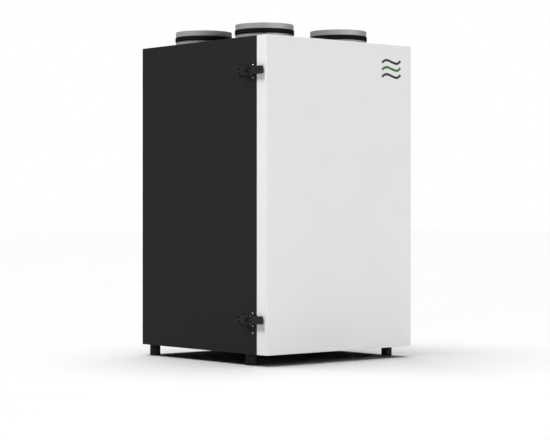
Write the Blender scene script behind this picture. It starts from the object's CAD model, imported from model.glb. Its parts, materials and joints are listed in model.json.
import json
import math
import random

import bmesh
import bpy
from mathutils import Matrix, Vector


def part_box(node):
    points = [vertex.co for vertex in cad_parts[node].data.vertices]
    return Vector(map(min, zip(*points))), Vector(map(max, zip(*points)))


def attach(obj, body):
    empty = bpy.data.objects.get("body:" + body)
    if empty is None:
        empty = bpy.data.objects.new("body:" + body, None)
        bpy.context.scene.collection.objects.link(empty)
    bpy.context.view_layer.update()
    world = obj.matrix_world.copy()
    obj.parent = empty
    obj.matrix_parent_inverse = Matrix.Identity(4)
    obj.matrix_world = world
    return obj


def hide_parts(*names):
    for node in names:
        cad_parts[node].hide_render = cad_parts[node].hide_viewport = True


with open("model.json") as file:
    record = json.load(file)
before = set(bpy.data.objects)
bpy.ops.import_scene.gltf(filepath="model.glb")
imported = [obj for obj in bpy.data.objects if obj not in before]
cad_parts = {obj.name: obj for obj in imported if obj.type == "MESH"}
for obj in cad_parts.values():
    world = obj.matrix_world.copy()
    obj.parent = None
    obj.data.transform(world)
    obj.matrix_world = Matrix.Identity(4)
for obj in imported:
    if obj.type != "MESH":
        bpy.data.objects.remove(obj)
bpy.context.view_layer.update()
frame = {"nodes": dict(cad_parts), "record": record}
nodes = frame["nodes"]
node_slot = {part["node"]: part["material_slot"] for part in frame["record"]["subparts"]}

# Every length below is in metres. X runs to the unit's right, the door faces -Y, and Z is up.


# ---- material building blocks ----
class Finish:
    """A Principled material with short helpers for its procedural detail."""

    def __init__(self, roughness=0.5, metallic=0.0, **sockets):
        self.material = bpy.data.materials.new("finish")
        self.material.use_nodes = True
        self.tree = self.material.node_tree
        self.shader = self.tree.nodes["Principled BSDF"]
        self.set_sockets(self.shader, Roughness=roughness, Metallic=metallic, **sockets)
        self.place = self.node("TexCoord").outputs["Object"]
        self.relief = None

    @staticmethod
    def set_sockets(node, **sockets):
        """Sets input sockets by name, with _ for a space."""
        for socket, value in sockets.items():
            node.inputs[socket.replace("_", " ")].default_value = value

    def node(self, kind, **sockets):
        """A new shader node with the given input values."""
        node = self.tree.nodes.new("ShaderNode" + kind)
        self.set_sockets(node, **sockets)
        return node

    def link(self, source, target):
        self.tree.links.new(source, target)

    def stretched(self, scale):
        """Object coordinates, scaled per axis."""
        mapping = self.node("Mapping", Scale=scale)
        self.link(self.place, mapping.inputs["Vector"])
        return mapping.outputs["Vector"]

    def noise(self, scale, detail=3.0, roughness=0.5, place=None):
        """Fractal noise; scale is in features per metre."""
        noise = self.node("TexNoise", Scale=scale, Detail=detail, Roughness=roughness)
        self.link(place or self.place, noise.inputs["Vector"])
        return noise.outputs["Fac"]

    def cells(self, scale, feature="F1", output="Distance", place=None):
        """Voronoi cells; scale is in cells per metre."""
        cells = self.node("TexVoronoi", Scale=scale)
        cells.feature = feature
        self.link(place or self.place, cells.inputs["Vector"])
        return cells.outputs[output]

    def spread(self, value, low, high, start, stop):
        """Maps a value's range, start to stop, to low to high."""
        mapped = self.node("MapRange", From_Min=start, From_Max=stop, To_Min=low, To_Max=high)
        self.link(value, mapped.inputs["Value"])
        return mapped.outputs["Result"]

    def between(self, value, dark, light, start=0.3, stop=0.7):
        """A colour ramp between two colours."""
        ramp = self.node("ValToRGB")
        stops = zip(ramp.color_ramp.elements, (start, stop), (dark, light))
        for element, position, colour in stops:
            element.position = position
            element.color = (*colour, 1.0)
        self.link(value, ramp.inputs["Fac"])
        return ramp.outputs["Color"]

    def tint(self, value, colour, darkest, lightest, start=0.3, stop=0.7):
        """The base colour: one hue, from its darkest to its lightest multiple."""
        dark, light = ([channel * factor for channel in colour] for factor in (darkest, lightest))
        shades = self.between(value, dark, light, start, stop)
        self.link(shades, self.shader.inputs["Base Color"])

    def rough(self, value, low, high, start=0.3, stop=0.7):
        shares = self.spread(value, low, high, start, stop)
        self.link(shares, self.shader.inputs["Roughness"])

    def bump(self, value, depth, strength):
        """Adds relief; depth is in metres, and each call stands on the last."""
        bump = self.node("Bump", Distance=depth, Strength=strength)
        self.link(value, bump.inputs["Height"])
        if self.relief is not None:
            self.link(self.relief, bump.inputs["Normal"])
        self.relief = bump.outputs["Normal"]
        self.link(self.relief, self.shader.inputs["Normal"])


# ---- materials ----
def powder_coat(colour, roughness, variation=0.03, gloss=0.5):
    """Baked powder paint: a fine even grain, slow drifts of tone, faint orange peel."""
    depth = 0.00006
    finish = Finish(Specular_IOR_Level=gloss)
    drifts = finish.noise(scale=6.0, detail=4.0)
    orange_peel = finish.noise(scale=160.0, detail=2.0)
    grain = finish.noise(scale=900.0, detail=2.0)
    finish.tint(drifts, colour, 1 - variation, 1 + variation)
    finish.rough(finish.noise(scale=40.0), *roughness)
    finish.bump(orange_peel, depth, strength=0.12)
    finish.bump(grain, depth, strength=0.5)
    return finish.material


def zinc(colour, roughness, spangle, metallic):
    """Hot-dip galvanised sheet; spangle is its crystals per metre."""
    finish = Finish(metallic=metallic)
    crystals = finish.cells(spangle, feature="SMOOTH_F1", output="Color")
    channels = finish.node("SeparateColor")
    finish.link(crystals, channels.inputs["Color"])
    finish.tint(channels.outputs["Red"], colour, 0.93, 1.05, start=0.0, stop=1.0)
    finish.rough(channels.outputs["Green"], *roughness, start=0.0, stop=1.0)
    finish.bump(finish.noise(scale=500.0), depth=0.00003, strength=0.4)
    return finish.material


def steel(colour, roughness):
    """Plain plated steel with a fine grain drawn out along Z."""
    finish = Finish(metallic=1.0)
    grain = finish.noise(scale=300.0, detail=4.0, place=finish.stretched((1.0, 1.0, 0.12)))
    finish.tint(grain, colour, 0.8, 1.1)
    finish.rough(grain, *roughness)
    finish.bump(grain, depth=0.00002, strength=0.4)
    return finish.material


def rubber(colour):
    """Extruded rubber: dull, with a dusty bloom."""
    finish = Finish(Specular_IOR_Level=0.15)
    bloom = finish.noise(scale=60.0, detail=5.0)
    finish.tint(bloom, colour, 0.8, 1.5)
    finish.rough(bloom, 0.62, 0.8)
    finish.bump(finish.noise(scale=1200.0, detail=2.0), depth=0.00003, strength=0.5)
    return finish.material


def moulded(colour, roughness=(0.45, 0.6), gloss=0.5):
    """Injection-moulded plastic with an eroded grain."""
    finish = Finish(Specular_IOR_Level=gloss)
    finish.tint(finish.noise(scale=25.0), colour, 0.96, 1.05)
    finish.rough(finish.noise(scale=90.0, detail=2.0), *roughness)
    finish.bump(finish.cells(scale=1400.0), depth=0.00004, strength=0.35)
    return finish.material


def bead_foam(colour):
    """Moulded bead foam: beads a few millimetres across, with dark joints between them."""
    finish = Finish()
    from_joint = finish.cells(scale=230.0, feature="DISTANCE_TO_EDGE")
    crowns = finish.spread(from_joint, 0.0, 1.0, start=0.0, stop=0.2)
    finish.tint(from_joint, colour, 0.45, 1.15, start=0.0, stop=0.16)
    finish.rough(finish.noise(scale=80.0), 0.72, 0.86)
    finish.bump(crowns, depth=0.0006, strength=0.6)
    return finish.material


def fleece(colour):
    """Matted filter fibre."""
    finish = Finish(Sheen_Weight=0.25)
    fibres = finish.noise(scale=700.0, detail=6.0, roughness=0.7)
    finish.tint(fibres, colour, 0.8, 1.08)
    finish.rough(fibres, 0.85, 0.98)
    finish.bump(fibres, depth=0.0004, strength=0.5)
    return finish.material


def card(colour):
    """Pressed card with a soft, cloudy grain."""
    finish = Finish()
    grain = finish.noise(scale=220.0, detail=5.0)
    finish.tint(grain, colour, 0.88, 1.05)
    finish.rough(grain, 0.7, 0.85)
    finish.bump(grain, depth=0.0001, strength=0.3)
    return finish.material


def badge_enamel(outer, middle):
    """Stamped enamel in three equal bands of height: the middle one has its own colour."""
    finish = Finish(Specular_IOR_Level=0.4)
    low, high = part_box("door_badge")
    axes = finish.node("SeparateXYZ")
    finish.link(finish.place, axes.inputs["Vector"])
    bands = finish.node("ValToRGB")
    bands.color_ramp.interpolation = "CONSTANT"
    stops = bands.color_ramp.elements
    stops[1].position = 1 / 3
    stops.new(2 / 3)
    for stop, colour in zip(stops, (outer, middle, outer)):
        stop.color = (*colour, 1.0)
    height = finish.spread(axes.outputs["Z"], 0.0, 1.0, start=low[2], stop=high[2])
    finish.link(height, bands.inputs["Fac"])
    grain = finish.noise(scale=800.0, detail=2.0)
    mottle = finish.between(grain, (0.82, 0.82, 0.82), (1.0, 1.0, 1.0))
    mix = finish.node("Mix")
    mix.data_type = "RGBA"
    mix.blend_type = "MULTIPLY"
    mix.inputs["Factor"].default_value = 1.0
    finish.link(bands.outputs["Color"], mix.inputs["A"])
    finish.link(mottle, mix.inputs["B"])
    finish.link(mix.outputs["Result"], finish.shader.inputs["Base Color"])
    finish.rough(grain, 0.3, 0.45)
    finish.bump(grain, depth=0.00002, strength=0.3)
    return finish.material


def webbing(colour):
    """Narrow woven tape: cross ribs and a running twill."""
    finish = Finish(Sheen_Weight=0.3)
    # The stretched coordinates hold the scale: ribs and threads per metre along each axis.
    ribs = finish.noise(scale=1.0, detail=0.0, place=finish.stretched((900.0, 60.0, 260.0)))
    threads = finish.cells(scale=1.0, place=finish.stretched((560.0, 560.0, 620.0)))
    finish.tint(threads, colour, 0.6, 1.5, start=0.1, stop=0.8)
    finish.rough(ribs, 0.75, 0.9)
    finish.bump(threads, depth=0.0003, strength=0.6)
    finish.bump(ribs, depth=0.0002, strength=0.4)
    return finish.material


anthracite = (0.0122, 0.0122, 0.0127)
light_grey = (0.735, 0.735, 0.735)
latch_black = (0.0135, 0.0135, 0.014)
sheet_zinc = (0.33, 0.335, 0.34)
spigot_zinc = (0.4, 0.405, 0.41)
near_black = (0.006, 0.006, 0.0064)
screw_black = (0.0025, 0.0025, 0.0026)
wave_grey = (0.036, 0.037, 0.04)
wave_green = (0.07, 0.17, 0.035)

finishes = {
    "casing_paint": powder_coat(anthracite, (0.64, 0.68), gloss=0.15),
    "door_paint": powder_coat(light_grey, (0.42, 0.5), variation=0.012),
    "foam": bead_foam((0.052, 0.052, 0.055)),
    "zinc_sheet": zinc(sheet_zinc, (0.52, 0.62), spangle=110.0, metallic=0.6),
    "exchanger_plate": moulded((0.62, 0.66, 0.68), (0.2, 0.35)),
    "dark_plastic": moulded(near_black, (0.5, 0.54), gloss=0.15),
    "strap_web": webbing((0.03, 0.03, 0.032)),
    "strap_thread": webbing((0.25, 0.25, 0.26)),
    "filter_card": card((0.62, 0.6, 0.55)),
    "filter_cloth": fleece((0.8, 0.8, 0.78)),
    "motor_case": steel((0.3, 0.3, 0.31), (0.4, 0.55)),
    "board": moulded((0.03, 0.16, 0.07)),
    "spigot_steel": zinc(spigot_zinc, (0.56, 0.68), spangle=60.0, metallic=0.5),
    "rubber_seal": rubber((0.0035, 0.0035, 0.0038)),
    "fastener_steel": steel((0.6, 0.6, 0.6), (0.25, 0.42)),
    "fastener_black": moulded(screw_black, (0.4, 0.5), gloss=0.2),
    "latch_black": powder_coat(latch_black, (0.5, 0.6), gloss=0.2),
    "badge_print": badge_enamel(outer=wave_grey, middle=wave_green),
    "fan_plastic": moulded((0.05, 0.05, 0.054)),
}
for finish_name, material in finishes.items():
    material.name = finish_name


def finish_node(name):
    """Gives a CAD node its material and soft-shaded round faces."""
    sharp_edge = math.radians(28)
    mesh = nodes[name].data
    mesh.materials.clear()
    mesh.materials.append(finishes[node_slot[name]])
    mesh.shade_smooth()
    mesh.set_sharp_from_angle(angle=sharp_edge)


for node_name in nodes:
    finish_node(node_name)


# ---- soft pieces ----
def add_piece(name, shape, slot, body):
    """Turns a bmesh into a finished piece that rides on a CAD body."""
    mesh = bpy.data.meshes.new(name)
    bmesh.ops.recalc_face_normals(shape, faces=shape.faces)
    shape.to_mesh(mesh)
    shape.free()
    mesh.materials.append(finishes[slot])
    mesh.shade_smooth()
    piece = bpy.data.objects.new(name, mesh)
    bpy.context.scene.collection.objects.link(piece)
    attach(piece, body)
    return piece


def smooth_step(value):
    value = min(max(value, 0.0), 1.0)
    return value * value * (3 - 2 * value)


def skin(shape, rings):
    """Quads between neighbouring rings of vertices, and one face over each end."""
    for first, second in zip(rings, rings[1:]):
        for k in range(len(first)):
            following = (k + 1) % len(first)
            shape.faces.new((first[k], first[following], second[following], second[k]))
    shape.faces.new(rings[0])
    shape.faces.new(rings[-1])


def pleat_grid(low, high, folds, thickness):
    """The middle layer of a pleated sheet, as columns of points that run along Y."""
    steps_per_fold = 10
    rows = 14
    sway = 0.0009
    sway_phase = 5.0
    uneven_height = 0.01
    dice = random.Random(7)
    wobble = [(dice.uniform(-1, 1), dice.uniform(0, math.tau)) for _ in range(folds + 1)]
    pitch = (high[0] - low[0] - thickness) / folds
    rise = high[2] - low[2] - thickness
    grid = []
    for i in range(folds * steps_per_fold + 1):
        turn = i / steps_per_fold
        fold = min(i // steps_per_fold, folds - 1)
        height = smooth_step(1 - abs(2 * (turn - fold) - 1))
        lean, start = wobble[fold]
        column = []
        for j in range(rows + 1):
            along = j / rows
            drift = sway * lean * height * math.sin(start + sway_phase * along)
            x = low[0] + thickness / 2 + turn * pitch + drift
            y = low[1] + (high[1] - low[1]) * along
            z = low[2] + thickness / 2 + rise * height * (1 - uneven_height * abs(lean))
            column.append(Vector((x, y, z)))
        grid.append(column)
    return grid


def pleated_sheet(shape, low, high, folds, thickness):
    """A closed fleece sheet folded to and fro, its folds rounded and a little uneven."""
    grid = pleat_grid(low, high, folds, thickness)
    last = len(grid) - 1
    rows = len(grid[0]) - 1
    layers = []
    for side in (1, -1):
        layer = []
        for i, column in enumerate(grid):
            verts = []
            for j, point in enumerate(column):
                ahead = grid[min(i + 1, last)][j] - grid[max(i - 1, 0)][j]
                normal = Vector((-ahead.z, 0.0, ahead.x)).normalized()
                verts.append(shape.verts.new(point + normal * (side * thickness / 2)))
            layer.append(verts)
        layers.append(layer)
    top, under = layers
    for i in range(last):
        for j in range(rows):
            for layer in layers:
                near, far = layer[i], layer[i + 1]
                shape.faces.new((near[j], far[j], far[j + 1], near[j + 1]))
        for j in (0, rows):
            shape.faces.new((top[i][j], top[i + 1][j], under[i + 1][j], under[i][j]))
    for i in (0, last):
        for j in range(rows):
            shape.faces.new((top[i][j], top[i][j + 1], under[i][j + 1], under[i][j]))


def filter_fleece():
    """The pleat packs of the two filter frames, in the places of their CAD solids."""
    low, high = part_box("filter_media")
    inner_edge = 0.0127
    pleat_height = 0.034
    packs = {
        "filter_fleece_extract": (
            (low[0], low[1], high[2] - pleat_height),
            (-inner_edge, high[1], high[2]),
        ),
        "filter_fleece_outdoor": (
            (inner_edge, low[1], low[2]),
            (high[0], high[1], low[2] + pleat_height),
        ),
    }
    for name, corners in packs.items():
        shape = bmesh.new()
        pleated_sheet(shape, *corners, folds=17, thickness=0.0016)
        piece = add_piece(name, shape, "filter_cloth", "casing")
        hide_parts("filter_media")


def lathe(shape, centre, profile):
    """A form turned about Y, from (height towards the front, radius) pairs, rim first."""
    turns = 28
    rings = []
    for rise, radius in profile:
        ring = []
        for i in range(turns):
            angle = math.tau * i / turns
            spoke = Vector((radius * math.cos(angle), -rise, radius * math.sin(angle)))
            ring.append(shape.verts.new(centre + spoke))
        rings.append(ring)
    skin(shape, rings)


def tube(shape, points, radius):
    """A round thread along a run of points in a plane that faces the front."""
    sides = 6
    front = Vector((0.0, -1.0, 0.0))
    last = len(points) - 1
    rings = []
    for i, point in enumerate(points):
        ahead = (points[min(i + 1, last)] - points[max(i - 1, 0)]).normalized()
        side = ahead.cross(front).normalized()
        ring = []
        for k in range(sides):
            angle = math.tau * k / sides
            spoke = math.cos(angle) * side + math.sin(angle) * front
            ring.append(shape.verts.new(point + radius * spoke))
        rings.append(ring)
    skin(shape, rings)


strap_low, strap_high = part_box("exchanger_strap")
strap_half_width = (strap_high[2] - strap_low[2]) / 2
strap_middle_z = (strap_high[2] + strap_low[2]) / 2
strap_thickness = 0.0013


def strap_y(x):
    """Y of the strap's middle layer: flat at both anchors, bowed to the front between them."""
    bowed_share = 0.72
    reach = abs(x) / strap_high[0]
    bow = smooth_step((1 - reach) / bowed_share)
    near = strap_high[1] - strap_thickness / 2
    far = strap_low[1] + strap_thickness / 2
    return near + (far - near) * bow


def strap_web():
    """The webbing loop that the exchanger is drawn out by."""
    runs = 64
    # Half of the tape's outline as (across, rise): a flat middle between two round selvedges.
    half_outline = [
        (1.0, 0.0), (0.97, 0.62), (0.91, 0.95), (0.86, 0.78), (0.3, 0.82),
        (-0.3, 0.82), (-0.86, 0.78), (-0.91, 0.95), (-0.97, 0.62), (-1.0, 0.0),
    ]
    outline = half_outline + [(across, -rise) for across, rise in half_outline[-2:0:-1]]
    shape = bmesh.new()
    rings = []
    for i in range(runs + 1):
        x = strap_low[0] + (strap_high[0] - strap_low[0]) * i / runs
        y = strap_y(x)
        ring = []
        for across, rise in outline:
            z = strap_middle_z + across * strap_half_width
            ring.append(shape.verts.new((x, y - rise * strap_thickness / 2, z)))
        rings.append(ring)
    skin(shape, rings)
    strap = add_piece("pull_strap_web", shape, "strap_web", "casing")
    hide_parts("exchanger_strap")


def strap_ends():
    """A domed rivet and two zigzag rows of stitching at each end of the strap."""
    rivet_x = strap_high[0] - 0.008
    stitch_x = strap_high[0] - 0.017
    row_pitch = 0.004
    zigzag = 0.001
    teeth = 16
    stitched_share = 0.8
    thread_radius = 0.00028
    thread_lift = 0.00005
    rivet_profile = (
        (0.0, 0.0044), (0.0005, 0.0045), (0.00095, 0.0042),
        (0.0013, 0.0032), (0.00142, 0.0018), (0.00145, 0.0004),
    )
    rivets = bmesh.new()
    stitches = bmesh.new()
    for side in (-1, 1):
        y = strap_y(rivet_x) - strap_thickness / 2
        lathe(rivets, Vector((side * rivet_x, y, strap_middle_z)), rivet_profile)
        for row in (0, 1):
            start = stitch_x - row * row_pitch
            points = []
            for i in range(teeth + 1):
                x = side * (start + zigzag * (-1) ** i)
                y = strap_y(x) - strap_thickness / 2 - thread_lift
                across = (2 * i / teeth - 1) * strap_half_width * stitched_share
                points.append(Vector((x, y, strap_middle_z + across)))
            tube(stitches, points, thread_radius)
    add_piece("pull_strap_rivets", rivets, "fastener_steel", "casing")
    add_piece("pull_strap_stitching", stitches, "strap_thread", "casing")


filter_fleece()
strap_web()
strap_ends()


# ---- floor, light and camera ----
def studio_floor():
    """A pale floor that runs far past the view."""
    half_side = 30.0
    mesh = bpy.data.meshes.new("floor")
    shape = bmesh.new()
    bmesh.ops.create_grid(shape, x_segments=1, y_segments=1, size=half_side)
    shape.to_mesh(mesh)
    shape.free()
    floor = bpy.data.objects.new("floor", mesh)
    bpy.context.scene.collection.objects.link(floor)
    finish = Finish(roughness=0.6)
    finish.tint(finish.noise(scale=2.0), (1.0, 1.0, 1.0), 0.93, 0.95)
    finish.material.name = "floor_white"
    mesh.materials.append(finish.material)
    return floor


def add_lamp(name, light, direction):
    """Puts a light in the scene, shining along a direction."""
    lamp = bpy.data.objects.new(name, light)
    bpy.context.scene.collection.objects.link(lamp)
    lamp.rotation_mode = "QUATERNION"
    lamp.rotation_quaternion = Vector(direction).to_track_quat("-Z", "Y")
    return lamp


def area_light(name, place, target, size, power, spares):
    """A soft rectangle of light aimed at a point; the object that it spares isn't lit by it."""
    light = bpy.data.lights.new(name, "AREA")
    light.shape = "RECTANGLE"
    light.size, light.size_y = size
    light.energy = power
    lamp = add_lamp(name, light, Vector(target) - Vector(place))
    lamp.location = place
    receivers = bpy.data.collections.new(name + "_receivers")
    receivers.objects.link(spares)
    receivers.collection_objects[0].light_linking.link_state = "EXCLUDE"
    lamp.light_linking.receiver_collection = receivers


def sun_light(name, direction, angle, strength):
    """Parallel light, softened over an angle in degrees."""
    light = bpy.data.lights.new(name, "SUN")
    light.energy = strength
    light.angle = math.radians(angle)
    add_lamp(name, light, direction)


def studio_world(seen, ambient):
    """A white room: the backdrop as the camera sees it, and a weaker light from all round."""
    white = (1.0, 1.0, 1.0, 1.0)
    world = bpy.data.worlds.new("studio")
    world.use_nodes = True
    tree = world.node_tree
    glow = tree.nodes["Background"]
    backdrop = tree.nodes.new("ShaderNodeBackground")
    for background, strength in ((glow, ambient), (backdrop, seen)):
        background.inputs["Color"].default_value = white
        background.inputs["Strength"].default_value = strength
    path = tree.nodes.new("ShaderNodeLightPath")
    mix = tree.nodes.new("ShaderNodeMixShader")
    tree.links.new(path.outputs["Is Camera Ray"], mix.inputs["Fac"])
    tree.links.new(glow.outputs["Background"], mix.inputs[1])
    tree.links.new(backdrop.outputs["Background"], mix.inputs[2])
    tree.links.new(mix.outputs["Shader"], tree.nodes["World Output"].inputs["Surface"])
    bpy.context.scene.world = world


def studio_light(floor):
    """Broad soft light from above, a low fill on the door, a high light on the left side."""
    middle = (0.0, 0.0, 0.5)
    studio_world(seen=1.0, ambient=0.02)
    sun_light("overhead", direction=(0.02, -0.19, -1.0), angle=66.0, strength=3.66)
    area_light("front_fill", (0.6, -7.0, 0.9), middle, size=(5.0, 1.8), power=222.0, spares=floor)
    area_light("left_key", (-5.6, 0.4, 10.0), middle, size=(2.6, 2.6), power=1120.0, spares=floor)
    bpy.context.scene.view_settings.view_transform = "Standard"


def camera():
    """A long, level lens a little below the cabinet's middle, seeing its left side and door."""
    lens = bpy.data.cameras.new("camera")
    lens.lens = 115.0
    lens.sensor_width = 36.0
    lens.shift_y = -0.0113
    lens.clip_end = 200.0
    looking = Vector((0.6508, 0.7593, 0.0))
    eye = bpy.data.objects.new("camera", lens)
    bpy.context.scene.collection.objects.link(eye)
    eye.location = (-3.6445, -4.2487, 0.452)
    eye.rotation_mode = "QUATERNION"
    eye.rotation_quaternion = looking.to_track_quat("-Z", "Y")
    bpy.context.scene.camera = eye


studio_light(studio_floor())
camera()
